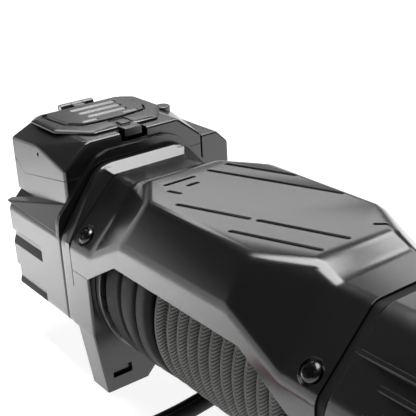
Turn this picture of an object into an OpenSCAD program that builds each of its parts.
// Electric recovery winch with a synthetic rope, a three-stage planetary gearbox and a control box.
// +X runs along the drum towards the motor, -Y is the side where the rope leaves, +Z is up.
// The origin is on the mounting plane, midway between the four foot bolts.

/* [Mounting and supports] */
// Height of the drum axis above the mounting plane
axis_h = 92; // [90:1:98]
// Spacing of the foot bolts along the drum
bolt_span_x = 254; // [252:1:258]
// Spacing of the foot bolts across the winch
bolt_span_y = 114.3; // [112:0.1:118]
// Diameter of a foot bolt hole
bolt_hole_d = 11; // [9:0.5:12]
// Depth of a foot bolt hole up to its nut pocket
bolt_hole_l = 12; // [10:1:16]
// Width across flats of a square foot nut
foot_nut_w = 17; // [15:0.5:17]
// Height of a square foot nut
foot_nut_h = 8; // [6:0.5:9]
// Thickness of a support where the drum cover overlaps it
support_t = 24; // [22:0.5:26]
// Half width of a support at the mounting plane
foot_half_w = 72; // [70:1:76]
// Half width of the arch between the feet of a support
arch_half_w = 24; // [18:1:27]
// Height of the arch between the feet of a support
arch_h = 10; // [6:1:14]
// Diameter of a tie rod
tie_rod_d = 14; // [12:1:16]

/* [Octagonal section] */
// Half width of the octagonal section, front to back
oct_half_w = 80; // [79:0.5:84]
// Half height of the octagonal section
oct_half_h = 82; // [81:0.5:85]
// Corner cut of the octagon along each side
oct_cut = 46; // [44:1:48]
// Rise of the gearbox support's rim above the octagon
rim_rise = 7; // [4:0.5:8]

/* [Drum] */
// Radius of the drum barrel
barrel_r = 31.5; // [31:0.5:40]
// Wall of the drum barrel
barrel_t = 5.5; // [4:0.5:7]
// Radius of the drum flanges
flange_r = 74; // [73:0.5:75]
// Thickness of a drum flange
flange_t = 5; // [4:0.5:6]
// Radius of the drum journals
journal_r = 30; // [29:0.5:31]
// Wall of the drum bushes
bush_t = 4; // [3:0.5:5]

/* [Rope] */
// Diameter of the rope
rope_d = 11.4; // [10:0.1:11.6]
// Pitch of the rope turns on the drum
rope_pitch = 12.3; // [12.1:0.1:12.4]
// Radius at the middle of the outer rope layer
rope_layer_r = 66.6; // [64:0.1:66.8]
// Turns of bare rope in the outer layer
rope_turns = 11; // [7:1:11]
// Width of one flattened turn of the rope's sleeve
sleeve_w = 19.6; // [17:0.1:19.8]
// Thickness of one flattened turn of the rope's sleeve
sleeve_t = 13; // [11:0.1:13.2]
// Pitch of the sleeved turns on the drum
sleeve_pitch = 20.4; // [20.3:0.1:20.6]
// Turns of sleeved rope on the drum
sleeve_turns = 3; // [2:1:3]
// Diameter of the sleeved tail that lies on the ground
tail_d = 15.4; // [14:0.1:15.6]

/* [Gears] */
// Module of all the gears
gear_m = 2; // [1.94:0.01:2]
// Pressure angle of all the gears, in degrees
pressure_angle = 25; // [24:1:26]
// Thickness of a planet carrier's plate
carrier_t = 7; // [6:0.5:8]
// Width of the first stage's gears
stage_1_w = 16; // [14:0.5:17]
// Width of the second stage's gears
stage_2_w = 20; // [18:0.5:21]
// Width of the third stage's gears
stage_3_w = 28; // [25:0.5:29]
// Diameter of a planet pin
planet_pin_d = 14; // [10:1:16]
// Radius of the ring gear's outside
ring_gear_r = 72; // [70:0.5:72]
// Diameter of the drive shaft inside the drum and the gearbox
drive_shaft_d = 10; // [9:0.5:11]

/* [Housings] */
// Length of the gear housing
gear_housing_l = 96; // [95:1:102]
// Thickness of the gear housing's end wall
gear_end_t = 9; // [8:0.5:10]
// Length of the motor housing
motor_housing_l = 178; // [174:1:190]
// Wall of the motor housing
motor_wall_t = 5; // [4:0.5:6]
// Height of the fins on the motor housing
fin_h = 5; // [3:0.5:6]
// Thickness of the fins on the motor housing
fin_t = 3.5; // [2.5:0.5:5]
// Spacing of the fins on the motor housing
fin_pitch = 12; // [10:0.5:14]

/* [Motor] */
// Radius of the motor can
can_r = 58; // [55:0.5:60]
// Wall of the motor can
can_t = 6; // [4:0.5:7]
// Radius of the armature
armature_r = 38; // [35:0.5:39]
// Diameter of the motor shaft
motor_shaft_d = 17; // [15:0.5:18]
// Radius of the commutator
commutator_r = 21; // [18:0.5:23]

/* [Drum cover] */
// Wall of the drum cover
cover_t = 4; // [3:0.5:4.5]
// Height of the raised panel above the drum axis
panel_h = 90; // [88:0.5:93]
// Half length of the panel along its front edge
panel_front_l = 57; // [52:1:60]
// Half length of the panel at its ends
panel_end_l = 92; // [88:1:96]
// Half depth of the panel along its front edge
panel_half_w = 57.7; // [55:0.1:60]
// Half depth of the panel at its ends
panel_end_w = 33.5; // [30:0.5:36]
// Height of the cover's upright front above the drum axis, at the middle
front_top_h = 60; // [56:1:64]
// Height of the cover's lower edge above the drum axis, between the supports
skirt_h = 40; // [34:1:44]
// Height of the cover's lower edge above the drum axis, at the supports
band_h = 14.5; // [10:0.5:20]
// Depth of the grooves in the panel
groove_depth = 1.6; // [0.8:0.1:2]
// Width of the grooves in the panel
groove_w = 3; // [2:0.1:4]
// Turn of the groove pattern, in degrees
groove_turn = 21; // [15:1:25]
// Thread diameter of a cover screw
cover_screw_d = 8; // [6:0.5:8]
// Head diameter of a cover screw
cover_screw_head_d = 14; // [12:0.5:15]

/* [Control box] */
// Height of the control box above the flat on the gear housing
box_h = 28; // [26:0.5:32]
// Half depth of the control box
box_half_w = 67; // [64:0.5:69]
// Half depth of the control box's top
box_top_half_w = 43; // [40:0.5:46]
// Wall of the control box
box_t = 3; // [2.4:0.1:3.4]
// Thickness of the socket lid
lid_t = 4.5; // [3.5:0.5:5]
// Diameter of the lid's hinge pin
lid_pin_d = 4; // [3:0.5:4.5]

/* [Hook] */
// Diameter of the hook's pin
hook_pin_d = 12; // [10:0.5:12]
// Radius of the hook's throat
hook_throat_r = 15; // [13:0.5:16]
// Thickness of the hook's bow, inside to outside
hook_bow_t = 14; // [12:0.5:16]
// Thickness of the hook as it lies
hook_h = 22; // [20:0.5:24]

/* [Hidden] */

// Clearances and making values
cut = 1; // overrun of a cutting tool past a face
fit = 0.3; // gap between pieces that are laid together
run_gap = 0.08; // radial running clearance of a shaft or pin
side_gap = 0.5; // side clearance between turning pieces
skin = 0.01; // thickness of a section inside a hull
fine = 64; // segments on a full turn

// Stations along the drum
support_in = bolt_span_x / 2 - support_t / 2; // inner face of a support
cover_end = bolt_span_x / 2 + support_t / 2; // end of the drum cover
rim_l = 15.4; // length of the gearbox support's rim
rim_gap = 1; // dark gap between the drum cover and the rim
seal_t = 1.6; // thickness of the gearbox seal
motor_seal_t = 7; // thickness of the motor seal
gear_face = -(cover_end + rim_l); // outer face of the gearbox support
gear_start = gear_face - seal_t; // where the gear housing starts
gear_end = gear_start - gear_housing_l; // outer end of the gear housing
motor_start = cover_end + motor_seal_t; // where the motor housing starts
motor_end = motor_start + motor_housing_l; // outer end of the motor housing

shoulder_h = oct_half_h - oct_cut; // top of the upright side, from the axis
top_half_w = oct_half_w - oct_cut; // half width of the flat top
panel_z = axis_h + panel_h; // heights above the mounting plane
front_top_z = axis_h + front_top_h;
skirt_z = axis_h + skirt_h;
band_z = axis_h + band_h;
shoulder_z = axis_h + shoulder_h; // top of the upright side, from the plane
chamfer_r = (oct_half_w + shoulder_h) * sin(45); // distance of a sloped side from the axis
corner_inset_share = 2 - 2 * sin(45); // how an inset shortens the corner cut

// An octagon about the drum axis, drawn in alike on every side
function octagon(inset = 0, rise = 0) =
  let (w = oct_half_w - inset, h = oct_half_h - inset, c = oct_cut - inset * corner_inset_share)
  [[w, -h + c], [w, h - c], [w - c + rise, h + rise], [-w + c - rise, h + rise],
   [-w, h - c], [-w, -h + c], [-w + c, -h], [w - c, -h]];

// Lays a profile along the drum
module along_x(x0, length) {
  translate([x0, 0, axis_h]) rotate([90, 0, 90]) linear_extrude(height = length) children();
}

// A round bar along X, at a height above the drum axis
module bar_x(x0, length, r, y = 0, h = 0) {
  translate([x0, y, axis_h + h]) rotate([0, 90, 0]) cylinder(h = length, r = r, $fn = fine);
}

// A hexagon bar along X
module hex_x(x0, length, r, y = 0, h = 0) {
  translate([x0, y, axis_h + h]) rotate([0, 90, 0]) cylinder(h = length, r = r, $fn = 6);
}

// A flat-sided solid round a set of points
module solid_of(points) {
  hull() polyhedron(points = points, faces = [[for (i = [0 : len(points) - 1]) i]]);
}

// The same points on the front and on the back
function both_sides(points) = concat(points, [for (p = points) [p.x, -p.y, p.z]]);

// Copies for the front and the back
module front_and_back() {
  children();
  mirror([0, 1, 0]) children();
}

// A socket screw along +Z, with its seat at 0
module socket_screw(d, length, head_d, head_h, dome = false) {
  hex_r = head_d * 0.3;
  difference() {
    union() {
      translate([0, 0, -length]) cylinder(h = length + head_h / 2, r = d / 2, $fn = fine);
      if (dome) rotate_extrude($fn = fine) polygon(button_outline(head_d / 2, head_h));
      else cylinder(h = head_h, r = head_d / 2, $fn = fine);
    }
    translate([0, 0, head_h / 2]) cylinder(h = head_h, r = hex_r, $fn = 6);
  }
}
// Half section of a button head
button_shoulder_share = 0.35;
function button_outline(r, h) = concat([[0, 0], [r, 0]],
  [for (a = [0 : 15 : 60]) [r * (button_shoulder_share + (1 - button_shoulder_share) * cos(a)),
    h * (button_shoulder_share + (1 - button_shoulder_share) * sin(a) / sin(60))]], [[0, h]]);

// Supports: a cast plate with two feet and a bore for the drum bush
journal_gap = 1; // gap from a drum flange to its support
bush_r = journal_r + bush_t; // outside of a drum bush
bush_l = 16; // length of a drum bush
nut_gap = 0.5; // clearance round a foot nut
step_inset = cover_t + fit; // room under the drum cover
tie_rod_y = 65; // place of the upper tie rod, behind the axis
tie_rod_h = -52; // height of the upper tie rod, from the axis
tie_rod_low_y = 41; // place of the lower tie rod, behind the axis
tie_rod_low_h = -78; // height of the lower tie rod, from the axis
tie_rod_seat = 14; // depth of a tie rod in its support
screw_along_slope = 18.4; // a cover screw's place on the slope
cover_screw_l = 18; // length of a cover screw's shank
cover_recess_r = 8.8; // radius of the recess round a screw head
cover_recess_t = 2.2; // depth of the recess round a screw head
cover_screw_head_h = 4.4; // height of a cover screw's head

// Outline of a support: octagon above, feet below
function support_outline(inset) = let (o = octagon(inset), step = band_z - axis_h - fit)
  [[oct_half_w, oct_cut - oct_half_h], [oct_half_w, step], [oct_half_w - inset, step],
   o[1], o[2], o[3], o[4],
   [-oct_half_w + inset, step], [-oct_half_w, step], [-oct_half_w, oct_cut - oct_half_h],
   [-foot_half_w, -axis_h], [foot_half_w, -axis_h]];

// Places at the four cover screws, with +Z outward
module at_cover_screws() {
  for (x = [-bolt_span_x / 2, bolt_span_x / 2]) front_and_back()
    translate([x, 0, axis_h]) rotate([45, 0, 0]) translate([0, -screw_along_slope, chamfer_r]) children();
}

module foot_holes() {
  for (x = [-bolt_span_x / 2, bolt_span_x / 2], y = [-bolt_span_y / 2, bolt_span_y / 2]) {
    translate([x, y, -cut]) cylinder(h = bolt_hole_l + cut, r = bolt_hole_d / 2, $fn = fine);
    foot_nut_pocket(x, y);
  }
}

// A pocket for a square nut, open towards the drum
module foot_nut_pocket(x, y) {
  w = foot_nut_w + 2 * nut_gap;
  inward = support_t / 2 + w / 2 + cut;
  x0 = x > 0 ? x - inward + w / 2 : x - w / 2;
  translate([x0, y - w / 2, bolt_hole_l - skin]) cube([inward, w, foot_nut_h + nut_gap]);
}

module arch(x0, length) {
  along_x(x0 - cut, length + 2 * cut) polygon([[-arch_half_w - arch_h, -axis_h - cut],
    [-arch_half_w - arch_h, -axis_h], [-arch_half_w, -axis_h + arch_h], [arch_half_w, -axis_h + arch_h],
    [arch_half_w + arch_h, -axis_h], [arch_half_w + arch_h, -axis_h - cut]]);
}

module tie_rod_places() {
  translate([0, tie_rod_y, tie_rod_h]) children();
  translate([0, tie_rod_low_y, tie_rod_low_h]) children();
}

module tie_rod_seats() {
  for (x = [-support_in - tie_rod_seat, support_in]) tie_rod_places()
    bar_x(x - (x > 0 ? cut : 0), tie_rod_seat + cut, tie_rod_d / 2 + run_gap);
}

module cover_screw_holes() {
  at_cover_screws() translate([0, 0, -cover_screw_l - cut]) cylinder(h = cover_screw_l + 2 * cut,
    r = cover_screw_d / 2 + run_gap, $fn = fine);
}

module gear_side_support() color([0.09, 0.09, 0.095]) difference() {
  union() {
    along_x(-cover_end - skin, support_t + skin) polygon(support_outline(step_inset));
    rim_start = -(cover_end + rim_gap);
    along_x(rim_start, rim_gap + skin) polygon(octagon(step_inset));
    hull() {
      along_x(rim_start - skin, skin) polygon(octagon(0));
      along_x(gear_face + rim_l / 3, skin) polygon(octagon(0, rim_rise));
    }
    along_x(gear_face, rim_l / 3 + skin) polygon(octagon(0, rim_rise));
    along_x(rim_start, rim_gap + skin) polygon([[-oct_half_w, -oct_half_h + oct_cut], [-oct_half_w, 0],
      [oct_half_w, 0], [oct_half_w, -oct_half_h + oct_cut], [top_half_w, -oct_half_h], [-top_half_w,
        -oct_half_h]]);
  }
  bar_x(gear_face - cut, cover_end + rim_l - support_in + 2 * cut, bush_r);
  bar_x(gear_face - cut, rim_l + cut, carrier_seat_r);
  arch(-cover_end - rim_gap, support_t + rim_gap);
  foot_holes();
  tie_rod_seats();
  cover_screw_holes();
  housing_screw_places() bar_x(gear_face - cut, rim_l + cut, housing_screw_d / 2 + run_gap);
}

module motor_side_support() color([0.09, 0.09, 0.095]) difference() {
  along_x(support_in, support_t) polygon(support_outline(step_inset));
  bar_x(support_in - cut, bush_l + cut, bush_r);
  bar_x(support_in, support_t + cut, bearing_r);
  arch(support_in, support_t);
  foot_holes();
  tie_rod_seats();
  cover_screw_holes();
  motor_screw_places() bar_x(cover_end - motor_screw_seat, motor_screw_seat + cut,
    motor_screw_d / 2 + run_gap);
}

module tie_rods() color([0.55, 0.55, 0.57]) tie_rod_places() {
  bar_x(-support_in - tie_rod_seat, 2 * (support_in + tie_rod_seat), tie_rod_d / 2);
}

module foot_nuts() color([0.6, 0.6, 0.62])
  for (x = [-bolt_span_x / 2, bolt_span_x / 2], y = [-bolt_span_y / 2, bolt_span_y / 2])
    translate([x, y, bolt_hole_l]) difference() {
      translate([-foot_nut_w / 2, -foot_nut_w / 2, 0]) cube([foot_nut_w, foot_nut_w, foot_nut_h]);
      translate([0, 0, -cut]) cylinder(h = foot_nut_h + 2 * cut, r = bolt_hole_d / 2 - nut_gap, $fn = fine);
    }

// Drum cover: a cast bridge with a raised panel and two end bands
blend_x = 108; // where the end bands start
skirt_half_l = 72; // half length of the straight lower edge
slope_half_l = 62; // half length of the tall upright front

function cover_points(inset) = let (
    w = oct_half_w - inset, c = oct_cut - inset * corner_inset_share,
    h = axis_h + oct_half_h - inset, s = h - c,
    top = panel_z - inset, drop = inset * tan(22.5))
  both_sides([
    [-slope_half_l, -w, front_top_z - drop], [slope_half_l, -w, front_top_z - drop],
    [-panel_front_l, -panel_half_w + drop, top], [panel_front_l, -panel_half_w + drop, top],
    [-panel_end_l + drop, -panel_end_w, top], [panel_end_l - drop, -panel_end_w, top],
    [-blend_x, -w, s], [blend_x, -w, s], [-blend_x, -w + c, h], [blend_x, -w + c, h],
    [-blend_x, -w, axis_h], [blend_x, -w, axis_h]]);

module cover_form(inset, half_l) {
  along_x(-half_l, 2 * half_l) polygon([octagon(inset)[1], octagon(inset)[2], octagon(inset)[3],
    octagon(inset)[4], [-oct_half_w + inset, -axis_h / 2], [oct_half_w - inset, -axis_h / 2]]);
  solid_of(cover_points(inset));
}

// What is cut away below the cover's lower edge
module below_cover() {
  translate([0, oct_half_w + cut, 0]) rotate([90, 0, 0]) linear_extrude(height = 2 * (oct_half_w + cut))
    polygon([[-cover_end - cut, 0], [-cover_end - cut, band_z], [-support_in, band_z],
      [-skirt_half_l, skirt_z],
      [skirt_half_l, skirt_z], [support_in, band_z], [cover_end + cut, band_z], [cover_end + cut, 0]]);
}

// One straight groove in the panel
module groove(x0, y0, length, width = groove_w) {
  translate([x0, y0, panel_z - groove_depth]) rotate([0, 0, groove_turn]) {
    translate([0, -width / 2, 0]) cube([length, width, groove_depth + cut]);
    cylinder(h = groove_depth + cut, r = width / 2, $fn = fine);
    translate([length, 0, 0]) cylinder(h = groove_depth + cut, r = width / 2, $fn = fine);
  }
}

// Starts of the long grooves in shares of the panel's half length and half depth, and lengths
groove_shares = [[-0.85, 0.54, 0.64], [-0.83, 0.22, 1.19], [-0.40, -0.76, 0.61], [0.25, -0.36, 0.69],
  [0.26, -0.78, 0.69]];
short_groove_shares = [-0.80, -0.52];
module grooves() {
  for (g = groove_shares) groove(g[0] * panel_end_l, g[1] * panel_half_w, g[2] * panel_end_l);
  translate([short_groove_shares[0] * panel_end_l - groove_w / 2, short_groove_shares[1] * panel_half_w,
    panel_z - groove_depth]) cube([groove_w, panel_end_w * 0.7, groove_depth + cut]);
}

module drum_cover() color([0.12, 0.12, 0.125]) difference() {
  cover_form(0, cover_end);
  cover_form(cover_t, cover_end + cut);
  below_cover();
  grooves();
  at_cover_screws() translate([0, 0, -cover_recess_t]) cylinder(h = cover_recess_t + cut,
    r = cover_recess_r, $fn = fine);
  cover_screw_holes();
}

module cover_screws() color([0.35, 0.35, 0.36])
  at_cover_screws() translate([0, 0, -cover_recess_t])
    socket_screw(cover_screw_d, cover_screw_l - cover_recess_t, cover_screw_head_d, cover_screw_head_h,
      true);

// Drum and its bushes
drum_half_l = support_in - journal_gap; // outer face of a drum flange
drum_inner_l = drum_half_l - flange_t; // inner face of a drum flange
gear_journal_end = gear_face + carrier_t + side_gap + journal_gap; // end of the journal at the gearbox
hex_r = 22; // corner radius of the hexagon drive
hex_l = 24; // depth of the hexagon drive
brake_room_x = 40; // where the room for the brake starts

module drum() color([0.45, 0.45, 0.47]) difference() {
  union() {
    bar_x(-drum_half_l, 2 * drum_half_l, barrel_r);
    for (x = [-drum_half_l, drum_inner_l]) bar_x(x, flange_t, flange_r);
    bar_x(gear_journal_end, -gear_journal_end, journal_r);
    bar_x(0, support_in + bush_l - side_gap, journal_r);
  }
  hex_x(gear_journal_end - cut, hex_l + cut, hex_r + fit / 2);
  bar_x(gear_journal_end, 2 * support_in + cover_end, motor_shaft_d / 2 + side_gap);
  bar_x(brake_room_x, support_in + bush_l - brake_room_x + cut, barrel_r - barrel_t);
}

module drum_bushes() color([0.7, 0.55, 0.3]) for (x = [-support_in - bush_l, support_in]) difference() {
  bar_x(x, bush_l, bush_r);
  bar_x(x - cut, bush_l + 2 * cut, journal_r + run_gap);
}

// Gear teeth with involute flanks
sun_n = 12; // teeth on a sun gear
planet_n = 24; // teeth on a planet gear
ring_n = 60; // teeth on the ring gear
planet_count = 3; // planets on a carrier
addendum_share = 0.8; // tooth height above the pitch line, in modules
dedendum_share = 1; // tooth depth below the pitch line, in modules
backlash = 0.16; // play between meshing teeth at the pitch line
flank_steps = 5; // points along one flank
planet_orbit_r = gear_m * (sun_n + planet_n) / 2; // radius of the planets' centres
planet_pitch_turn = 180 / planet_n; // puts a planet's space over the sun's tooth

function involute(a) = tan(a) * 180 / PI - a;
// Half angle of a tooth at radius r on a gear with n teeth
function tooth_half(n, r) = let (rp = gear_m * n / 2, rb = rp * cos(pressure_angle))
  90 / n + involute(pressure_angle) - involute(acos(min(1, rb / r)));
function polar(r, a) = [r * cos(a), r * sin(a)];

// Outline of a gear: play is taken off both flanks
function gear_outline(n, low_share, high_share, play) = let (
    rp = gear_m * n / 2, low = rp - gear_m * low_share, high = rp + gear_m * high_share,
    first = max(low, rp * cos(pressure_angle)), shave = play / 4 / rp * 180 / PI)
  [for (i = [0 : n - 1]) let (mid = i * 360 / n) each concat(
    [polar(low, mid - tooth_half(n, first) + shave)],
    [for (k = [0 : flank_steps - 1]) let (r = first + (high - first) * k / (flank_steps - 1))
      polar(r, mid - tooth_half(n, r) + shave)],
    [for (k = [flank_steps - 1 : -1 : 0]) let (r = first + (high - first) * k / (flank_steps - 1))
      polar(r, mid + tooth_half(n, r) - shave)],
    [polar(low, mid + tooth_half(n, first) - shave)])];

// Stations of the stages, from the support outwards
carrier_3_x = gear_face;
planet_3_x = carrier_3_x - side_gap - stage_3_w;
carrier_2_x = planet_3_x - side_gap - carrier_t;
planet_2_x = carrier_2_x - side_gap - stage_2_w;
carrier_1_x = planet_2_x - side_gap - carrier_t;
planet_1_x = carrier_1_x - side_gap - stage_1_w;
ring_end = planet_1_x - journal_gap; // outer end of the ring gear
carrier_edge = 4; // from a planet pin to the plate's edge
carrier_r = planet_orbit_r + planet_pin_d / 2 + carrier_edge; // radius of a carrier's plate
carrier_seat_r = carrier_r + 2 * fit; // recess for the last carrier
sun_bore_r = drive_shaft_d / 2 + run_gap;

module spur(x0, width, n, turn = 0) {
  along_x(x0, width) rotate([0, 0, turn])
    polygon(gear_outline(n, dedendum_share, addendum_share, backlash));
}

// A planet on its place round the drum axis
module planet(x0, width, index) difference() {
  a = index * 360 / planet_count;
  translate([0, planet_orbit_r * cos(a), planet_orbit_r * sin(a)])
    translate([0, 0, axis_h]) rotate([a, 0, 0]) translate([0, 0, -axis_h])
      spur(x0, width, planet_n, planet_pitch_turn);
  bar_x(x0 - cut, width + 2 * cut, planet_pin_d / 2 + run_gap, planet_orbit_r * cos(a),
    planet_orbit_r * sin(a));
}

module planet_pins(x0, length) for (i = [0 : planet_count - 1]) let (a = i * 360 / planet_count)
  bar_x(x0, length, planet_pin_d / 2, planet_orbit_r * cos(a), planet_orbit_r * sin(a));

// A carrier with its three planet pins and the next stage's sun
module carrier(x0, pins_w, sun_w) difference() {
  union() {
    along_x(x0, carrier_t) intersection() {
      circle(r = carrier_r, $fn = fine);
      rotate([0, 0, 60]) circle(r = carrier_r * 1.5, $fn = 3);
    }
    planet_pins(x0 - side_gap - pins_w, side_gap + pins_w + skin);
    if (sun_w > 0) {
      bar_x(x0 + carrier_t - skin, side_gap + skin, gear_m * sun_n / 2 - gear_m);
      spur(x0 + carrier_t + side_gap - skin, sun_w, sun_n);
    }
  }
  bar_x(x0 - cut, carrier_t + sun_w + 3 * cut, sun_bore_r);
}

module carrier_1() color([0.5, 0.5, 0.52]) carrier(carrier_1_x, stage_1_w, stage_2_w);
module carrier_2() color([0.5, 0.5, 0.52]) carrier(carrier_2_x, stage_2_w, stage_3_w);
module carrier_3() color([0.5, 0.5, 0.52]) difference() {
  union() {
    carrier(carrier_3_x, stage_3_w, 0);
    hex_x(carrier_3_x + carrier_t - skin, hex_l, hex_r);
  }
  bar_x(carrier_3_x - cut, carrier_t + hex_l + 2 * cut, sun_bore_r);
}
module planet_1a() color([0.6, 0.6, 0.62]) planet(planet_1_x, stage_1_w, 0);
module planet_1b() color([0.6, 0.6, 0.62]) planet(planet_1_x, stage_1_w, 1);
module planet_1c() color([0.6, 0.6, 0.62]) planet(planet_1_x, stage_1_w, 2);
module planet_2a() color([0.6, 0.6, 0.62]) planet(planet_2_x, stage_2_w, 0);
module planet_2b() color([0.6, 0.6, 0.62]) planet(planet_2_x, stage_2_w, 1);
module planet_2c() color([0.6, 0.6, 0.62]) planet(planet_2_x, stage_2_w, 2);
module planet_3a() color([0.6, 0.6, 0.62]) planet(planet_3_x, stage_3_w, 0);
module planet_3b() color([0.6, 0.6, 0.62]) planet(planet_3_x, stage_3_w, 1);
module planet_3c() color([0.6, 0.6, 0.62]) planet(planet_3_x, stage_3_w, 2);

module sun_gear() color([0.7, 0.7, 0.72]) difference() {
  spur(planet_1_x, stage_1_w, sun_n);
  bar_x(planet_1_x - cut, stage_1_w + 2 * cut, drive_shaft_d / 2);
}

module ring_gear() color([0.5, 0.5, 0.52]) difference() {
  bar_x(ring_end, gear_start - ring_end, ring_gear_r);
  along_x(ring_end - cut, gear_start - ring_end + 2 * cut) rotate([0, 0, 180 / ring_n])
    polygon(gear_outline(ring_n, addendum_share, dedendum_share, -backlash));
  housing_screw_places() bar_x(ring_end - cut, gear_start - ring_end + 2 * cut,
    housing_screw_d / 2 + run_gap);
  clutch_place() bar_x(ring_end - cut, clutch_grip + side_gap + cut, clutch_pin_d / 2 + run_gap);
}

// Gear housing
housing_screw_d = 6; // thread diameter of a housing screw
housing_screw_r = 67; // radius of the housing screws' circle
housing_screw_count = 6; // housing screws round the gear housing
housing_screw_start = 15; // turn of the first housing screw, in degrees
housing_screw_head_d = 10; // head diameter of a housing screw
housing_screw_head_h = 6; // head height of a housing screw
housing_top_h = 78; // flat under the control box, above the drum axis
housing_top_z = axis_h + housing_top_h;
box_top_z = housing_top_z + box_h;
housing_chamfer = 5; // bevel round the housing's outer end
collar_l = 36; // plain collar before the ribbed part
end_bush_l = 5; // length of the bush in the end wall
end_bush_r = 10; // outside of the bush in the end wall
band_depth = 4.5; // depth of the recesses between the broad bands
band_shares = [[0.02, 0.19], [-0.47, -0.22]]; // lower and upper edges, in half heights

module housing_screw_places() for (i = [0 : housing_screw_count - 1])
  let (a = housing_screw_start + i * 360 / housing_screw_count)
    translate([0, housing_screw_r * cos(a), housing_screw_r * sin(a)]) children();

// A long recess with sloped sides in the gear housing
module band_recess(low, high) {
  x1 = gear_start - collar_l;
  x0 = gear_end - cut;
  slope = band_depth * 1.2;
  solid_of([for (x = [x0, x1], z = [low, high]) [x, -oct_half_w - skin, z],
    for (x = [x0, x1 - slope], z = [low + slope, high - slope]) [x, -oct_half_w + band_depth, z],
    for (x = [x0, x1], z = [low, high]) [x, -oct_half_w - cut, z]]);
}

module gear_housing() color([0.1, 0.1, 0.105]) difference() {
  union() {
    along_x(gear_end + housing_chamfer, gear_housing_l - housing_chamfer) polygon(octagon(0));
    hull() {
      along_x(gear_end + housing_chamfer, skin) polygon(octagon(0));
      along_x(gear_end, skin) polygon(octagon(housing_chamfer));
    }
  }
  for (b = band_shares) front_and_back()
    band_recess(axis_h + b[0] * oct_half_h, axis_h + b[1] * oct_half_h);
  translate([gear_end - cut, -oct_half_w, housing_top_z])
    cube([gear_housing_l - flange_box_t + cut, 2 * oct_half_w, oct_half_h]);
  bar_x(ring_end, gear_start - ring_end + cut, ring_gear_r + run_gap);
  bar_x(gear_end + gear_end_t, gear_housing_l, housing_screw_r - housing_screw_d / 2 - 1);
  bar_x(gear_end + gear_end_t - end_bush_l, end_bush_l + cut, end_bush_r);
  housing_screw_places() {
    bar_x(gear_end - cut, gear_housing_l + 2 * cut, housing_screw_d / 2 + run_gap);
    bar_x(gear_end - cut, housing_screw_head_h + cut, housing_screw_head_d / 2 + fit);
  }
  clutch_place() {
    bar_x(gear_end - cut, gear_end_t * 2, clutch_pin_d / 2 + run_gap);
    bar_x(gear_end - cut, clutch_spigot_l + cut, clutch_spigot_r + run_gap);
  }
  box_screw_places() translate([-cut, 0, 0]) rotate([0, 90, 0])
    cylinder(h = box_screw_l + cut, r = box_screw_d / 2 + run_gap, $fn = fine);
}

module gear_housing_screws() color([0.4, 0.4, 0.41]) housing_screw_places()
  translate([gear_end + housing_screw_head_h, 0, axis_h]) rotate([0, -90, 0])
    socket_screw(housing_screw_d, gear_face + rim_l - cut - gear_end - housing_screw_head_h,
      housing_screw_head_d, housing_screw_head_h);

module gearbox_seal() color([0.03, 0.03, 0.03]) along_x(gear_start, seal_t) difference() {
  polygon(octagon(fit * 2));
  circle(r = ring_gear_r, $fn = fine);
}

// Clutch: a lever draws a pin out of the ring gear's rim
clutch_r = 67; // the pin's distance from the drum axis
clutch_turn = 225; // the pin's place round the axis, in degrees
clutch_pin_d = 8; // diameter of the clutch pin
clutch_grip = 5; // depth of the pin in the ring gear
clutch_travel = 6; // how far the lever draws the pin
clutch_hub_r = 14;
clutch_hub_t = 14;
clutch_arm_l = 40;
clutch_arm_w = 11;
clutch_spigot_r = 9; // radius of the hub's spigot
clutch_spigot_l = 4; // length of the hub's spigot
clutch_pin_out = 2; // how far the pin stands out of the housing

module clutch_place() translate([0, clutch_r * cos(clutch_turn), clutch_r * sin(clutch_turn)]) children();

module clutch_lever() color([0.75, 0.12, 0.08]) clutch_place() difference() {
  union() {
    bar_x(gear_end - clutch_hub_t, clutch_hub_t - seat_gap, clutch_hub_r);
    bar_x(gear_end - seat_gap - skin, clutch_spigot_l, clutch_spigot_r);
    translate([gear_end - clutch_hub_t, -clutch_arm_w / 2, axis_h])
      cube([clutch_hub_t / 2, clutch_arm_w, clutch_arm_l]);
    bar_x(gear_end - clutch_hub_t, clutch_hub_t / 2, clutch_arm_w / 2 + 1, 0, clutch_arm_l);
  }
  bar_x(gear_end - clutch_pin_out - clutch_travel - side_gap, clutch_hub_t + clutch_travel + cut,
    clutch_pin_d / 2 + run_gap);
}
seat_gap = 0.2; // gap under a turning hub

module clutch_pin() color([0.7, 0.7, 0.72]) clutch_place()
  bar_x(gear_end - clutch_pin_out, ring_end + clutch_grip - gear_end + clutch_pin_out, clutch_pin_d / 2);

// Motor housing with fins that rise out of its sides
motor_screw_d = 6; // diameter of a long motor screw
motor_screw_r = 74; // radius of the motor screws' circle
motor_screw_seat = 14; // depth of a motor screw in the support
motor_screw_head_h = 6; // head height of a motor screw
motor_screw_head_d = 10; // head diameter of a motor screw
motor_end_t = 6; // end wall of the motor housing
motor_chamfer = 8; // bevel round the motor housing's end
fin_rise_l = 34; // length over which a fin rises
fin_stagger = 23; // how much later each lower fin starts
slope_fin_shift = 4.9; // first fin from the middle of the sloped side
slope_fins = 3; // fins on a sloped side
side_fins = 5; // fins on an upright side

module motor_screw_places() for (a = [67.5, 112.5, 247.5, 292.5])
  translate([0, motor_screw_r * cos(a), motor_screw_r * sin(a)]) children();

// One fin on a face at a distance from the axis, moved along that face
module fin(turn, distance, shift, start) translate([0, 0, axis_h]) rotate([turn, 0, 0])
  translate([0, shift + fin_t / 2, distance]) rotate([90, 0, 0]) linear_extrude(height = fin_t)
    polygon([[start, -motor_wall_t / 2], [start, 0], [start + fin_rise_l, fin_h],
      [motor_end - motor_chamfer - fin_h, fin_h], [motor_end - motor_chamfer, 0],
      [motor_end - motor_chamfer, -motor_wall_t / 2]]);

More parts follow.
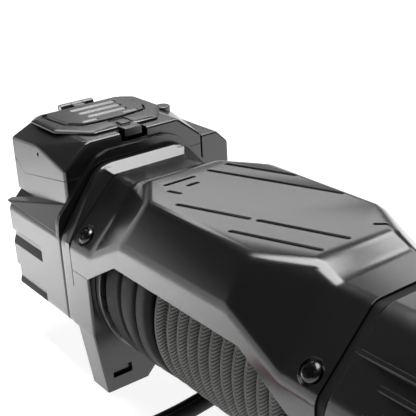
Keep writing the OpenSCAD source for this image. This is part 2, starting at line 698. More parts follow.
module motor_fins() front_and_back() {
  for (i = [0 : slope_fins - 1]) fin(45, chamfer_r, slope_fin_shift - i * fin_pitch,
    motor_start + i * fin_stagger);
  for (i = [0 : side_fins - 1]) fin(90, oct_half_w, (side_fins / 2 - i - 0.5) * fin_pitch,
    motor_start + (slope_fins + i) * fin_stagger / 2);
  for (i = [0 : slope_fins - 1]) fin(135, chamfer_r, slope_fin_shift - i * fin_pitch,
    motor_start + fin_stagger);
}

module motor_housing() color([0.1, 0.1, 0.105]) difference() {
  union() {
    along_x(motor_start, motor_housing_l - motor_chamfer) polygon(octagon(0));
    hull() {
      along_x(motor_end - motor_chamfer, skin) polygon(octagon(0));
      along_x(motor_end - skin, skin) polygon(octagon(motor_chamfer));
    }
    motor_fins();
  }
  difference() {
    along_x(motor_start - cut, motor_housing_l - motor_end_t + cut) polygon(octagon(motor_wall_t));
    motor_screw_places() bar_x(motor_start - cut, motor_housing_l, motor_screw_d);
  }
  motor_screw_places() {
    bar_x(motor_start - cut, motor_housing_l + 2 * cut, motor_screw_d / 2 + run_gap);
    bar_x(motor_end - motor_screw_head_h, motor_screw_head_h + cut, motor_screw_head_d / 2 + fit);
  }
}

module motor_housing_screws() color([0.4, 0.4, 0.41]) motor_screw_places()
  translate([motor_end - motor_screw_head_h, 0, axis_h]) rotate([0, 90, 0])
    socket_screw(motor_screw_d, motor_end - motor_screw_head_h - cover_end + motor_screw_seat - cut,
      motor_screw_head_d, motor_screw_head_h);

seal_inset = 1.5; // motor seal inside the outline
module motor_seal() color([0.02, 0.02, 0.02]) difference() {
  along_x(cover_end, motor_seal_t) polygon(octagon(seal_inset));
  bar_x(cover_end - cut, motor_seal_t + 2 * cut, can_r + run_gap);
  motor_screw_places() bar_x(cover_end - cut, motor_seal_t + 2 * cut, motor_screw_d / 2 + run_gap);
}

// Motor
can_start = cover_end;
bell_t = 10; // thickness of the motor's end bell
bearing_r = 18; // outside of a shaft bearing
bearing_l = 8;
armature_gap = 24; // from the can's front to the armature
armature_x = can_start + armature_gap;
pole_gap = 1.5; // air gap between armature and poles
pole_count = 4;
slot_count = 18;
bar_count = 24;
commutator_l = 18;
commutator_gap = 4; // from the armature to the commutator
slot_w = 3.4;
slot_depth = 9;
brush_holder_w = 9;
brush_plate_t = 3; // thickness of the plate that holds them
can_room = 24; // from the can to the housing's end
can_l = motor_housing_l - can_room;
armature_room = 58; // for the commutator and the bell
armature_l = can_l - armature_room;
can_end = can_start + can_l;
commutator_x = armature_x + armature_l + commutator_gap;

module motor_can() color([0.3, 0.3, 0.31]) difference() {
  bar_x(can_start, can_l, can_r);
  bar_x(can_start - cut, can_l + 2 * cut, can_r - can_t);
}

module motor_poles() color([0.5, 0.3, 0.15]) intersection() {
  difference() {
    bar_x(armature_x, armature_l, can_r - can_t);
    bar_x(armature_x - cut, armature_l + 2 * cut, armature_r + pole_gap);
  }
  for (i = [0 : pole_count - 1]) translate([armature_x - cut, 0, axis_h])
    rotate([i * 360 / pole_count, 0, 0])
    translate([0, -can_r / 2, 0]) cube([armature_l + 2 * cut, can_r, can_r]);
}

module motor_end_bell() color([0.35, 0.35, 0.36]) difference() {
  union() {
    bar_x(can_end - bell_t, bell_t, can_r - can_t);
    bar_x(can_end - skin, bearing_l / 2, bearing_r + can_t);
  }
  bar_x(can_end - bell_t - cut, bearing_l + cut, bearing_r);
  bar_x(can_end - bell_t, bell_t + bearing_l, motor_shaft_d / 2 + side_gap);
}

module brush_gear() color([0.55, 0.4, 0.2]) difference() {
  union() {
    bar_x(can_end - bell_t - brush_plate_t, brush_plate_t, can_r - can_t - fit);
    for (i = [0 : pole_count - 1]) translate([0, 0, axis_h]) rotate([45 + i * 360 / pole_count, 0, 0])
      translate([commutator_x, -brush_holder_w / 2, commutator_r])
        cube([can_end - bell_t - commutator_x - skin, brush_holder_w,
          (can_r - can_t - commutator_r) * 0.8]);
  }
  bar_x(commutator_x - cut, can_end - commutator_x, commutator_r + fit);
}

module armature() color([0.45, 0.4, 0.35]) difference() {
  bar_x(armature_x, armature_l, armature_r);
  bar_x(armature_x - cut, armature_l + 2 * cut, motor_shaft_d / 2);
  for (i = [0 : slot_count - 1]) translate([0, 0, axis_h]) rotate([i * 360 / slot_count, 0, 0])
    translate([armature_x - cut, -slot_w / 2, armature_r - slot_depth])
      cube([armature_l + 2 * cut, slot_w, slot_depth + cut]);
}

bar_gap_depth = 1; // depth of the gaps between the bars
module commutator() color([0.7, 0.4, 0.2]) difference() {
  bar_x(commutator_x, commutator_l, commutator_r);
  bar_x(commutator_x - cut, commutator_l + 2 * cut, motor_shaft_d / 2);
  for (i = [0 : bar_count - 1]) translate([0, 0, axis_h]) rotate([i * 360 / bar_count, 0, 0])
    translate([commutator_x - cut, -fit, commutator_r - bar_gap_depth])
      cube([commutator_l + 2 * cut, 2 * fit, bar_gap_depth + cut]);
}

// Shaft through motor, drum and gearbox, with its bearings
thin_start = brake_room_x; // where the shaft becomes thinner
module drive_shaft() color([0.65, 0.65, 0.67]) {
  bar_x(gear_end + gear_end_t - end_bush_l + fit, thin_start - gear_end - gear_end_t + end_bush_l,
    drive_shaft_d / 2);
  bar_x(thin_start, can_end + bearing_l / 2 - thin_start - bell_t + bearing_l, motor_shaft_d / 2);
}

module shaft_bearings() color([0.75, 0.75, 0.77]) {
  for (x = [cover_end - bearing_l, can_end - bell_t]) difference() {
    bar_x(x, bearing_l, bearing_r);
    bar_x(x - cut, bearing_l + 2 * cut, motor_shaft_d / 2 + run_gap);
  }
  difference() {
    bar_x(gear_end + gear_end_t - end_bush_l, end_bush_l, end_bush_r);
    bar_x(gear_end, gear_end_t + cut, drive_shaft_d / 2 + run_gap);
  }
}

// Brake inside the drum: a cam on the shaft and friction rings
brake_l = 22;
brake_back = 20; // wide bore's end to the brake rings
brake_x = brake_room_x + brake_back;
brake_cam_r = 17; // radius of the brake cam
module brake_cam() color([0.6, 0.6, 0.62]) difference() {
  bar_x(brake_x, brake_l, brake_cam_r);
  bar_x(brake_x - cut, brake_l + 2 * cut, motor_shaft_d / 2);
  for (i = [0 : 2]) translate([0, 0, axis_h]) rotate([i * 120, 0, 0])
    translate([brake_x - cut, -brake_w / 2, brake_cam_r - brake_w / 2])
      cube([brake_l / 2 + cut, brake_w, brake_w]);
}
brake_w = 6;
module brake_rings() color([0.35, 0.2, 0.15]) for (i = [0 : 1]) difference() {
  bar_x(brake_x + i * brake_l / 2 + fit, brake_l / 2 - 2 * fit, barrel_r - barrel_t);
  bar_x(brake_x - cut, brake_l + 2 * cut, brake_cam_r + fit);
}

// Control box: a base saddled on the gear housing, and a faceted cover with a well
flange_box_t = 4.4; // thickness of the base's flange by the support
flange_rise = 15; // rise of that flange above the octagon
box_x1 = gear_start - flange_box_t; // end of the box towards the drum
box_x0 = gear_end; // outer end of the box
box_l = box_x1 - box_x0;
box_floor_z = housing_top_z + box_t; // floor of the box
peak_x = box_x0 + box_l * 0.53; // highest point of the front's upper edge
peak_drop = 8; // the drops count down from the box's top
peak_z = box_top_z - peak_drop;
drum_edge_drop = 19;
drum_edge_z = box_top_z - drum_edge_drop; // the same edge towards the drum
outer_edge_drop = 11;
outer_edge_z = box_top_z - outer_edge_drop; // the same edge at the outer end
kink_x = box_x0 + box_l * 0.21; // kink of the parting line
kink_drop = 39;
kink_z = box_top_z - kink_drop; // height of the kink
part_end_drop = 27;
part_end_z = box_top_z - part_end_drop; // parting line at both ends
skirt_rise = 1; // from the housing's shoulder to the skirt
skirt_low_z = shoulder_z + skirt_rise;
skirt_step = 3; // how much higher it ends at the outer end
join_drop = 45;
skirt_join_z = box_top_z - join_drop; // where the skirt meets the front, by the drum
join_low_drop = 62;
skirt_join_low_z = box_top_z - join_low_drop; // the same at the outer end
box_screw_d = 5; // thread of the screws that hold the box
box_screw_l = 8;
box_screw_head_d = 9;

// All that lies above or below the line where cover and base part
module parting(above, gap) translate([0, oct_half_w + flange_rise, 0]) rotate([90, 0, 0])
  linear_extrude(height = 2 * (oct_half_w + flange_rise)) polygon([
    [box_x0 - cut, part_end_z + gap], [kink_x, kink_z + gap], [box_x1 + cut, part_end_z + gap],
    [box_x1 + cut, above ? box_top_z * 2 : axis_h], [box_x0 - cut, above ? box_top_z * 2 : axis_h]]);

module box_body(inset, top) solid_of(both_sides([
  [box_x0 + inset, -box_half_w + inset, skirt_low_z], [box_x1 - inset, -box_half_w + inset, skirt_low_z],
  [box_x0 + inset, -box_half_w + inset, outer_edge_z - inset], [peak_x, -box_half_w + inset,
    peak_z - inset],
  [box_x1 - inset, -box_half_w + inset, drum_edge_z - inset],
  [box_x0 + inset, -box_top_half_w, top], [box_x1 - inset, -box_top_half_w, top]]));

module box_skirt() front_and_back() solid_of([
  [box_x0, -oct_half_w - fit, skirt_low_z + skirt_step], [gear_start, -oct_half_w - fit, skirt_low_z],
  [box_x0, -box_half_w, skirt_join_low_z], [gear_start, -box_half_w, skirt_join_z],
  [box_x0, -box_half_w / 2, skirt_low_z], [gear_start, -box_half_w / 2, skirt_low_z],
  [box_x0, -box_half_w / 2, skirt_join_low_z], [gear_start, -box_half_w / 2, skirt_join_z]]);

flange_lean = 1; // how far the flange leans in at the sides
flange_bend = 6; // half width of its upper bends
flange_drop = 4; // height of its upper bends
module flange_profile() polygon([
  [-oct_half_w - fit, shoulder_h], [-oct_half_w + flange_lean, shoulder_h + flange_rise],
  [-top_half_w - flange_bend, oct_half_h + flange_rise - flange_drop],
  [-top_half_w + flange_bend, oct_half_h + flange_rise],
  [top_half_w - flange_bend, oct_half_h + flange_rise],
  [top_half_w + flange_bend, oct_half_h + flange_rise - flange_drop],
  [oct_half_w - flange_lean, shoulder_h + flange_rise], [oct_half_w + fit, shoulder_h]]);

module housing_room() {
  difference() {
    along_x(box_x0 - cut, box_l + flange_box_t + 2 * cut) polygon(octagon(-fit));
    translate([box_x0 - 2 * cut, -oct_half_w, housing_top_z + fit])
      cube([box_l + 2 * cut, 2 * oct_half_w, oct_half_h]);
  }
  translate([box_x0 - cut, -oct_half_w * 2, 0])
    cube([box_l + flange_box_t + 3 * cut, oct_half_w * 4, skirt_low_z - fit]);
}

// The box's floor on the gear housing
module box_floor() intersection() {
  box_body(box_t, box_top_z);
  difference() {
    along_x(box_x0 - cut, box_l + 2 * cut) polygon(octagon(-box_t));
    translate([box_x0 - 2 * cut, -oct_half_w, box_floor_z])
      cube([box_l + 4 * cut, 2 * oct_half_w, oct_half_h]);
  }
}

// A flat behind the box for the cable cover
module cable_pad_cut() translate([cable_x0 - fit, box_half_w, cable_low_z - fit])
  cube([cable_x1 - cable_x0 + fit, cable_cover_depth, box_top_z]);

module control_box_base() color([0.08, 0.08, 0.085]) difference() {
  union() {
    difference() {
      union() {
        box_body(0, box_top_z);
        box_skirt();
      }
      parting(true, -fit / 2);
      box_body(box_t, box_top_z);
    }
    box_floor();
    along_x(box_x1 - skin, flange_box_t + skin) flange_profile();
  }
  housing_room();
  cable_pad_cut();
  stud_places() rotate([-90, 0, 0]) translate([0, 0, -box_t * 3])
    cylinder(h = box_t * 4, r = stud_d / 2 + run_gap, $fn = fine);
  box_screw_places() translate([-cut, 0, 0]) rotate([0, 90, 0])
    cylinder(h = box_screw_l + cut, r = box_screw_d / 2 + run_gap, $fn = fine);
  cable_screw_places() rotate([90, 0, 0]) translate([0, 0, -cut])
    cylinder(h = box_t * 3, r = box_screw_d / 2 + run_gap, $fn = fine);
}

// The well under the lid, and the catch's recess
well_back = 22; // outer end to the well
well_x = box_x0 + well_back;
well_l = 42; // length of the well along the drum
well_half_w = 22; // half width of the well
well_depth = 13; // depth of the well
catch_half_w = 8; // half width of the lid's catch
catch_depth = 8; // depth of the recess under the catch
breather_r = 7; // radius of the breather boss
led_hole_d = 3.5; // small hole in the front
led_low = 7; // from the highest point down to the hole

module control_box_cover() color([0.09, 0.09, 0.095]) difference() {
  union() {
    difference() {
      box_body(0, box_top_z);
      difference() {
        box_body(box_t, box_top_z - box_t);
        translate([well_x - box_t, -well_half_w - box_t, box_top_z - well_depth - box_t])
          cube([well_l + 2 * box_t, 2 * (well_half_w + box_t), well_depth + box_t]);
      }
    }
    translate([peak_x - breather_r / 2, lid_half_w + fit + breather_r, peak_z + fit])
      cylinder(h = box_top_z + box_t - peak_z, r = breather_r, $fn = fine);
    for (s = [-1, 1]) translate([0, s * knuckle_step, 0]) knuckle(box_x0 + box_t, -knuckle_r);
  }
  intersection() {
    parting(false, fit / 2);
    translate([box_x0 - 2 * cut, -oct_half_w * 2, 0])
      cube([box_l + 4 * cut, oct_half_w * 4, box_top_z * 2]);
  }
  translate([well_x, -well_half_w, box_top_z - well_depth])
    cube([well_l, 2 * well_half_w, well_depth + cut]);
  translate([socket_x, 0, box_top_z - well_depth - box_t - cut])
    cylinder(h = box_t + 2 * cut, r = socket_r + fit / 2, $fn = fine);
  translate([box_x1 - catch_depth, -catch_half_w * 1.6, box_top_z - catch_depth])
    cube([catch_depth + cut, catch_half_w * 3.2, catch_depth + cut]);
  translate([peak_x, -box_half_w - cut, peak_z - led_low]) rotate([-90, 0, 0])
    cylinder(h = box_t * 2, r = led_hole_d / 2, $fn = fine);
  hinge_line(cover_end);
  housing_room();
  along_x(box_x1 - fit / 2, cut) flange_profile();
}

// Lid over the remote socket, with a catch towards the drum
knuckle_step = 11; // length of one hinge knuckle
knuckle_r = 3.5; // radius of a hinge knuckle
hinge_x = box_x0 - knuckle_r - 0.5; // hinge axis
hinge_z = box_top_z + knuckle_r / 2; // height of the hinge axis
lid_x0 = box_x0 + 2; // outer edge of the lid
lid_set_back = 12; // from the box's end to the lid
lid_x1 = box_x1 - lid_set_back;
lid_over = 9; // how far the lid is wider than the box's top
lid_half_w = box_top_half_w + lid_over;
lid_bevel = 4; // slope round the lid
lid_corner = 21; // cut of the lid's corners towards the drum
lid_outer_corner = 9; // cut of the lid's outer corners
lid_slot_w = 7;
lid_slot_l = 42;
lid_slot_pitch = 14;
lid_slot_depth = 1.5;
lid_slot_back = 14; // lid's outer edge to the first slot
lid_slot_edge = 4; // short slots to the lid's edge
lid_notch_l = 16; // length of the notch round the catch

lid_corner_share = 1.3;
function lid_points(inset, z) = let (w = lid_half_w - inset, a = lid_x0 + inset, b = lid_x1 - inset,
  c = lid_corner, o = lid_outer_corner)
  [[a, -w + o, z], [a + o, -w, z], [b - c * lid_corner_share, -w, z], [b, -w + c, z],
   [b, w - c, z], [b - c * lid_corner_share, w, z], [a + o, w, z], [a, w - o, z]];

// A hinge knuckle with the web that joins it to the piece that starts at x
module knuckle(x, low) {
  translate([hinge_x, knuckle_step / 2 - side_gap / 2, hinge_z]) rotate([90, 0, 0])
    cylinder(h = knuckle_step - side_gap, r = knuckle_r, $fn = fine);
  translate([hinge_x, -knuckle_step / 2 + side_gap / 2, box_top_z + low])
    cube([x - hinge_x, knuckle_step - side_gap, knuckle_r]);
}

module hinge_line(half_l, gap = run_gap) translate([hinge_x, half_l, hinge_z]) rotate([90, 0, 0])
  cylinder(h = 2 * half_l, r = lid_pin_d / 2 + gap, $fn = fine);

module lid_slots() {
  slot_z = box_top_z + lid_t - lid_slot_depth;
  for (i = [0 : 2])
    translate([lid_x0 + lid_slot_back + i * lid_slot_pitch, -lid_slot_l / 2 + knuckle_r, slot_z])
    cube([lid_slot_w, lid_slot_l, lid_slot_depth + cut]);
  for (s = [-1, 1]) translate([lid_x1 - lid_slot_w - lid_slot_edge, s * lid_slot_l / 2 - lid_slot_w,
    slot_z])
    cube([lid_slot_w / 2, lid_slot_w * 2, lid_slot_depth + cut]);
}

module socket_lid() color([0.1, 0.1, 0.105]) difference() {
  union() {
    solid_of(concat(lid_points(0, box_top_z + fit), lid_points(lid_bevel, box_top_z + lid_t)));
    knuckle(lid_x0 + lid_bevel, fit);
    translate([lid_x1 - lid_notch_l, -catch_half_w, box_top_z + fit])
      cube([lid_notch_l + box_x1 - lid_x1 - fit, 2 * catch_half_w, lid_t / 2]);
    translate([box_x1 - catch_depth / 2, -catch_half_w, box_top_z - catch_depth / 2])
      cube([catch_depth / 2 - fit, 2 * catch_half_w, catch_depth / 2 + lid_t / 2]);
  }
  translate([lid_x1 - lid_notch_l, -catch_half_w, box_top_z + fit + lid_t / 2])
    cube([lid_notch_l + cut, 2 * catch_half_w, lid_t]);
  lid_slots();
  hinge_line(cover_end);
}

module lid_hinge_pin() color([0.6, 0.6, 0.62]) hinge_line(knuckle_step * 1.5 - side_gap, 0);

// Electrical pieces
socket_r = 13; // radius of the remote socket
socket_x = well_x + well_l / 2; // place of the remote socket
socket_bore_r = 10; // bore that the remote's plug enters
socket_low = 9; // depth of the socket below the well
socket_high = 7; // height of the socket above the well's floor
socket_pin_count = 3;
socket_floor = 4; // thickness of the socket's floor
module remote_socket() color([0.05, 0.05, 0.05]) translate([socket_x, 0, box_top_z - well_depth]) {
  difference() {
    translate([0, 0, -socket_low]) cylinder(h = socket_low + socket_high, r = socket_r, $fn = fine);
    translate([0, 0, -socket_low + socket_floor])
      cylinder(h = socket_low + socket_high, r = socket_bore_r, $fn = fine);
  }
  for (i = [0 : socket_pin_count - 1]) rotate([0, 0, i * 360 / socket_pin_count])
    translate([socket_bore_r / 2, 0, -socket_low + socket_floor - skin])
      cylinder(h = socket_low, r = lid_pin_d / 3, $fn = fine);
}

coil_r = 10; // radius of a contactor coil
coil_l = 56;
coil_y = 48; // place of the coils, front and back
stud_d = 8;
stud_l = 27;
stud_count = 3; // terminal studs on the back
stud_drop = 48; // from the box's top to the studs
stud_z = box_top_z - stud_drop;
coil_z = chamfer_r / sin(45) + axis_h - coil_y + (box_t + coil_r + fit / 2) / sin(45);
module contactor() color([0.25, 0.25, 0.27]) front_and_back()
  bar_x(box_x0 + box_t + coil_r, coil_l, coil_r, coil_y, coil_z - axis_h);

module stud_places() for (i = [0 : stud_count - 1])
  translate([cable_x0 + (cable_x1 - cable_x0) * (i + 0.5) / stud_count, box_half_w, stud_z]) children();

module terminal_studs() color([0.7, 0.5, 0.25]) stud_places() rotate([-90, 0, 0]) {
  translate([0, 0, -box_t]) cylinder(h = stud_l, r = stud_d / 2, $fn = fine);
  cylinder(h = stud_d * 0.7, r = stud_d * 0.8, $fn = 6);
}

cable_cover_depth = 28; // how far the cable cover stands out behind
cable_cover_t = 3; // wall of the cable cover
cable_drop = 56; // from the box's top to the cable cover's edge
cable_low_z = box_top_z - cable_drop;
cable_corner = 12; // cut of the cable cover's upper corners
cable_back = 8; // outer end to the cable cover
cable_x0 = box_x0 + cable_back;
cable_x1 = box_x1;
module cable_form(inset) {
  y0 = box_half_w + fit;
  y1 = y0 + cable_cover_depth - inset;
  high = drum_edge_z - 1 - inset;
  solid_of([for (x = [cable_x0 + inset, cable_x1 - inset]) each [
    [x, y0, cable_low_z], [x, y1, cable_low_z], [x, y1, high - cable_corner], [x, y1 - cable_corner,
      high], [x, y0, high]]]);
}
module cable_cover() color([0.07, 0.07, 0.075]) difference() {
  cable_form(0);
  difference() {
    cable_form(cable_cover_t);
    cable_screw_places() rotate([-90, 0, 0])
      cylinder(h = cable_cover_depth, r = box_screw_head_d / 2 + box_t / 2, $fn = fine);
  }
  translate([cable_x0 + cable_cover_t, box_half_w + cable_cover_t, cable_low_z - cut])
    cube([cable_x1 - cable_x0 - 2 * cable_cover_t, cable_cover_depth - 2 * cable_cover_t,
      cable_cover_t + cut]);
  housing_room();
  cable_screw_places() rotate([-90, 0, 0]) {
    cylinder(h = cable_cover_depth + cut, r = box_screw_d / 2 + run_gap, $fn = fine);
    translate([0, 0, cable_screw_l]) cylinder(h = cable_cover_depth, r = box_screw_head_d / 2 + fit,
      $fn = fine);
  }
}
cable_screw_l = 12; // grip of a cable cover screw
module cable_screw_places() for (i = [1, 2])
  translate([cable_x0 + (cable_x1 - cable_x0) * i / stud_count, box_half_w, stud_z]) children();
module cable_cover_screws() color([0.4, 0.4, 0.41]) cable_screw_places()
  rotate([-90, 0, 0]) translate([0, 0, cable_screw_l])
    socket_screw(box_screw_d, cable_screw_l + box_t, box_screw_head_d, box_screw_d * 0.6, true);

box_screw_in = 9; // place of the box's screws from its side
box_screw_up = 4; // and above the skirt's lower join
module box_screw_places() for (s = [-1, 1]) 
  translate([box_x0, s * (box_half_w - box_screw_in), skirt_join_low_z + box_screw_up]) children();
module control_box_screws() color([0.4, 0.4, 0.41]) box_screw_places() rotate([0, -90, 0])
  socket_screw(box_screw_d, box_screw_l - cut, box_screw_head_d, box_screw_d * 0.6, true);

// Rope on the drum: a plain core and an outer layer of turns
turn_steps = 24; // rings along one turn
ring_sides = 6; // sides of a wound rope
bend_steps = 4; // rings along the bend at an end
rope_bend_r = 8; // radius of the bend at an end of the bare rope
sleeve_bend_r = 9.5; // the same for the sleeved rope
start_turn = 90; // both layers start on top, under the cover
sleeve_x = -drum_inner_l + fit + sleeve_w / 2; // middle of the first sleeved turn
mouth_x = sleeve_x + sleeve_turns * sleeve_pitch; // where the bare rope comes out of its sleeve
first_pitch = sleeve_w / 2 + rope_d / 2 + side_gap; // pitch of the bare rope's first turn
rope_end_x = mouth_x + first_pitch + (rope_turns - 1) * rope_pitch;
step_turn = 360 / turn_steps; // turn between two rings
rope_core_r = rope_layer_r * cos(step_turn / 2) - rope_d / 2 * cos(180 / ring_sides) - fit;
sleeve_core_r = rope_layer_r * cos(step_turn / 2) - sleeve_t / 2 * cos(180 / ring_sides) - fit;
core_split_x = mouth_x + sleeve_w / 2;
mouth_r = rope_layer_r * cos(step_turn); // both lie straight for a step beside the mouth

function outward(a) = [0, cos(a), sin(a)];
function onward(a) = [0, -sin(a), cos(a)];
// A ring is [middle, outward direction], here along the helix
function helix_rings(first, last) = [for (i = [first : last]) let (a = start_turn + i * step_turn)
  [[helix_x(i / turn_steps), 0, axis_h] + rope_layer_r * outward(a), outward(a)]];
// Place along the drum after so many turns from the mouth
function helix_x(t) = mouth_x + (t < 0 ? t * sleeve_pitch : t < 1 ? t * first_pitch
  : first_pitch + (t - 1) * rope_pitch);
mouth_ring = [[mouth_x, 0, axis_h] + mouth_r * outward(start_turn), outward(start_turn)];
function dive_rings(x, a, way, r, bend, straight) = concat(
  [for (k = [1 : bend_steps]) let (b = 90 * k / bend_steps,
    n = cos(b) * outward(a) + sin(b) * way * onward(a))
    [[x, 0, axis_h] + (r - bend) * outward(a) + bend * n, n]],
  [[[x, 0, axis_h] + (r - bend - straight) * outward(a) + bend * way * onward(a), way * onward(a)]]);
function reversed(list) = [for (i = [len(list) - 1 : -1 : 0]) list[i]];
function ring_points(ring, half_t, half_w) =
  [for (k = [0 : ring_sides - 1]) let (a = 360 * (k + 0.5) / ring_sides)
  ring[0] + half_t * cos(a) * ring[1] + [half_w * sin(a) / sin(90), 0, 0]];

// A tube through a list of rings, closed at both ends
module tube(rings, sides) {
  points = [for (r = rings) each r];
  n = len(rings);
  polyhedron(points = points, faces = concat(
    [for (i = [0 : n - 2], k = [0 : sides - 1]) let (m = (k + 1) % sides) each
      [[i * sides + k, i * sides + m, (i + 1) * sides + m],
        [i * sides + k, (i + 1) * sides + m, (i + 1) * sides + k]]],
    [for (k = [1 : sides - 2]) [0, k + 1, k]],
    [for (k = [1 : sides - 2]) [(n - 1) * sides, (n - 1) * sides + k, (n - 1) * sides + k + 1]]));
}

rope_rings = [for (r = concat([mouth_ring], helix_rings(1, rope_turns * turn_steps),
  dive_rings(rope_end_x, start_turn, 1, rope_layer_r, rope_bend_r, rope_d))) ring_points(r, rope_d / 2,
    rope_d / 2)];
sleeve_rings = [for (r = concat(reversed(dive_rings(sleeve_x, start_turn, -1, rope_layer_r, sleeve_bend_r, sleeve_t)),
  helix_rings(-sleeve_turns * turn_steps, -1), [mouth_ring])) ring_points(r, sleeve_t / 2, sleeve_w / 2)];

// Least distance between one turn and the next
function least_gap(rings, first) = min([for (i = [first : first + turn_steps],
  j = [i + turn_steps - 3 : i + turn_steps + 3])
  min([for (p = rings[i], q = rings[j]) norm(p - q)])]);
rope_gap = least_gap(rope_rings, turn_steps);
sleeve_gap = least_gap(sleeve_rings, bend_steps + 1);
echo(rope_gap = rope_gap, sleeve_gap = sleeve_gap);

module rope_winding() color([0.45, 0.46, 0.45]) tube(rope_rings, ring_sides);
module sleeve_winding() color([0.04, 0.04, 0.045]) tube(sleeve_rings, ring_sides);

// The room in the core for a rope end that dives at x
module dive_room(x, way, r, bend, half_w, half_t, straight) {
  l = bend + half_t + fit;
  translate([x - half_w - fit, way < 0 ? 0 : -l, axis_h + r - bend - straight])
    cube([2 * (half_w + fit), l, r]);
}

module rope_core() color([0.3, 0.3, 0.3]) difference() {
  union() {
    bar_x(core_split_x - skin, drum_inner_l - fit - core_split_x + skin, rope_core_r);
    bar_x(-drum_inner_l + fit, core_split_x + drum_inner_l - fit, sleeve_core_r);
  }
  bar_x(-drum_half_l, 2 * drum_half_l, barrel_r);
  dive_room(rope_end_x, 1, rope_layer_r, rope_bend_r, rope_d / 2, rope_d / 2, rope_d);
  dive_room(sleeve_x, -1, rope_layer_r, sleeve_bend_r, sleeve_w / 2, sleeve_t / 2, sleeve_t);
  translate([mouth_x - core_room, -core_room, axis_h + mouth_r - sleeve_t / 2 - fit])
    cube([2 * core_room, 2 * core_room, sleeve_t]);
}
core_room = rope_layer_r * sin(step_turn); // half length of the straight run at the mouth

// The sleeved tail leaves under the drum and lies forward on the ground
tail_route = [[-44, 14, 12], [-44, -8, 11.8], [-44, -30, 10], [-44, -52, 8.2], [-44, -80, 8],
  [-45, -106, 8], [-46, -130, 8], [-46, -151, 8.5], [-46, -174, 10], [-46, -192, 11]];
tail_sides = 12;
function unit(v) = v / norm(v);
function along(route, i) = unit(route[min(i + 1, len(route) - 1)] - route[max(i - 1, 0)]);
tail_rings = [for (i = [0 : len(tail_route) - 1]) let (t = along(tail_route, i),
  s = unit(cross(t, [0, 0, 1])), u = cross(s, t))
  [for (k = [0 : tail_sides - 1]) let (a = -360 * (k + 0.5) / tail_sides)
    tail_route[i] + tail_d / 2 * (cos(a) * s + sin(a) * u)]];
module rope_tail() color([0.04, 0.04, 0.045]) tube(tail_rings, tail_sides);

// Thimble and hook, flat on the ground at the tail's end
thimble_r = 19; // outer radius of the thimble
thimble_bore_r = 11; // bore of the thimble
thimble_h = 10.6; // thickness of the thimble as it lies
tail_end = tail_route[len(tail_route) - 1];
tail_grip = 2; // how far the thimble's groove holds the tail
lie_z = hook_h / 2; // middle of the hook above the ground
thimble_y = tail_end.y + tail_grip - thimble_r;
pin_y = thimble_y - thimble_bore_r + hook_pin_d / 2 + fit / 2;
clevis_r = 13; // radius of the clevis ears
clevis_room = 18; // room between the ears for the thimble
swing_room = 1.6; // more room, for the swing of the hook
hook_neck = 4; // from that room to the bow
bow_y = pin_y - clevis_room - hook_throat_r - hook_bow_t - hook_neck;
bow_r = hook_throat_r + hook_bow_t; // outer radius of the hook's bow
hook_edge = 4; // bevel of the hook's edges
mouth_w = 16;
latch_t = 3;
latch_pin_d = 5; // diameter of the latch's pivot

thimble_lip = 3; // bevel of the thimble's groove
module rope_thimble() color([0.6, 0.6, 0.62])
  translate([tail_end.x, thimble_y, lie_z]) rotate_extrude($fn = fine)
  polygon([[thimble_bore_r, -thimble_h / 2], [thimble_bore_r, thimble_h / 2], [thimble_r, thimble_h / 2],
    [thimble_r - thimble_lip, thimble_h / 2 - thimble_lip],
    [thimble_r - thimble_lip, thimble_lip - thimble_h / 2], [thimble_r, -thimble_h / 2]]);

module hook_outline(inset) difference() {
  union() {
    translate([0, bow_y]) circle(r = bow_r - inset, $fn = fine);
    polygon([[-clevis_r + inset, pin_y], [clevis_r - inset, pin_y],
      [clevis_r + latch_t - inset, bow_y + bow_r * 0.7], [-clevis_r - latch_t + inset,
        bow_y + bow_r * 0.7]]);
    translate([0, pin_y]) circle(r = clevis_r - inset, $fn = fine);
  }
  translate([0, bow_y]) circle(r = hook_throat_r + inset, $fn = fine);
  polygon([[0, bow_y - inset], [bow_r * 2, bow_y - inset], [bow_r * 2, bow_y + mouth_w + inset],
    [0, bow_y + mouth_w * 0.6 + inset]]);
}

module rope_hook() color([0.75, 0.1, 0.08]) translate([tail_end.x, 0, 0]) difference() {
  union() {
    translate([0, 0, hook_edge]) linear_extrude(height = hook_h - 2 * hook_edge) hook_outline(0);
    linear_extrude(height = hook_h) hook_outline(hook_edge / 2);
  }
  translate([0, pin_y, lie_z - thimble_h / 2 - side_gap])
    cylinder(h = thimble_h + 2 * side_gap, r = clevis_room + swing_room, $fn = fine);
  translate([0, thimble_y, lie_z - thimble_h / 2 - side_gap])
    cylinder(h = thimble_h + 2 * side_gap, r = thimble_r + side_gap * 2, $fn = fine);
  translate([0, pin_y, -cut]) cylinder(h = hook_h + 2 * cut, r = hook_pin_d / 2 + run_gap, $fn = fine);
  latch_slot();
  translate([latch_x, latch_y, -cut]) cylinder(h = hook_h + 2 * cut, r = latch_pin_d / 2, $fn = fine);
}
latch_inset = 3; // latch's pivot from the shank's side and the bow's top
latch_x = clevis_r + latch_t / 2 - latch_inset; // the latch's pivot beside the hook's middle
latch_y = bow_y + bow_r - latch_inset;
latch_h = 9; // height of the latch as it lies
latch_l = 28.4; // length of the latch, to just inside the hook's tip
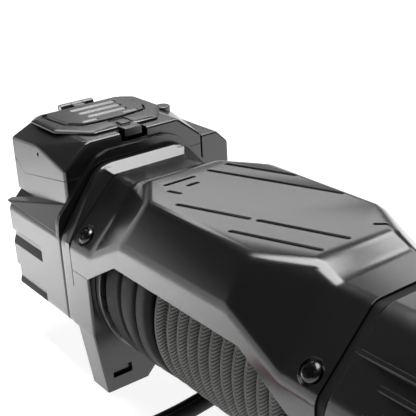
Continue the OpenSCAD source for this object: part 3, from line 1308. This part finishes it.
latch_turn = -87; // direction of the closed latch
latch_swing = 46; // sweep that the slot leaves for the latch
latch_knuckle_r = latch_pin_d / 2 + latch_t / 2;
latch_slot_r = latch_knuckle_r + side_gap;
module latch_slot() translate([latch_x, latch_y, lie_z - latch_h / 2 - side_gap])
  linear_extrude(height = latch_h + 2 * side_gap)
    polygon([[-latch_slot_r, latch_slot_r], [bow_r, latch_slot_r],
    [bow_r, -latch_l], [latch_l * cos(latch_turn - latch_swing), latch_l * sin(latch_turn - latch_swing)],
    [-latch_slot_r, 0]]);
module hook_pin() color([0.6, 0.6, 0.62]) translate([tail_end.x, pin_y, 0])
  cylinder(h = hook_h, r = hook_pin_d / 2, $fn = fine);
module hook_latch() color([0.65, 0.65, 0.67]) translate([tail_end.x + latch_x, latch_y, 0]) {
  cylinder(h = hook_h, r = latch_pin_d / 2 - run_gap, $fn = fine);
  translate([0, 0, lie_z - latch_h / 2]) cylinder(h = latch_h, r = latch_knuckle_r, $fn = fine);
  translate([0, 0, lie_z - latch_h / 2 + side_gap]) rotate([0, 0, latch_turn])
    translate([0, -latch_t / 2, 0]) cube([latch_l, latch_t, latch_h - 2 * side_gap]);
}

gear_side_support();
motor_side_support();
drum_cover();
cover_screws();
tie_rods();
foot_nuts();
gear_housing();
gear_housing_screws();
motor_housing();
motor_housing_screws();
motor_seal();
gearbox_seal();
control_box_base();
control_box_cover();
control_box_screws();
socket_lid();
lid_hinge_pin();
remote_socket();
contactor();
terminal_studs();
cable_cover();
cable_cover_screws();
drum();
drum_bushes();
rope_core();
rope_winding();
sleeve_winding();
rope_tail();
rope_thimble();
rope_hook();
hook_pin();
hook_latch();
motor_can();
motor_poles();
motor_end_bell();
brush_gear();
armature();
commutator();
drive_shaft();
shaft_bearings();
brake_cam();
brake_rings();
ring_gear();
sun_gear();
planet_1a();
planet_1b();
planet_1c();
carrier_1();
planet_2a();
planet_2b();
planet_2c();
carrier_2();
planet_3a();
planet_3b();
planet_3c();
carrier_3();
clutch_lever();
clutch_pin();
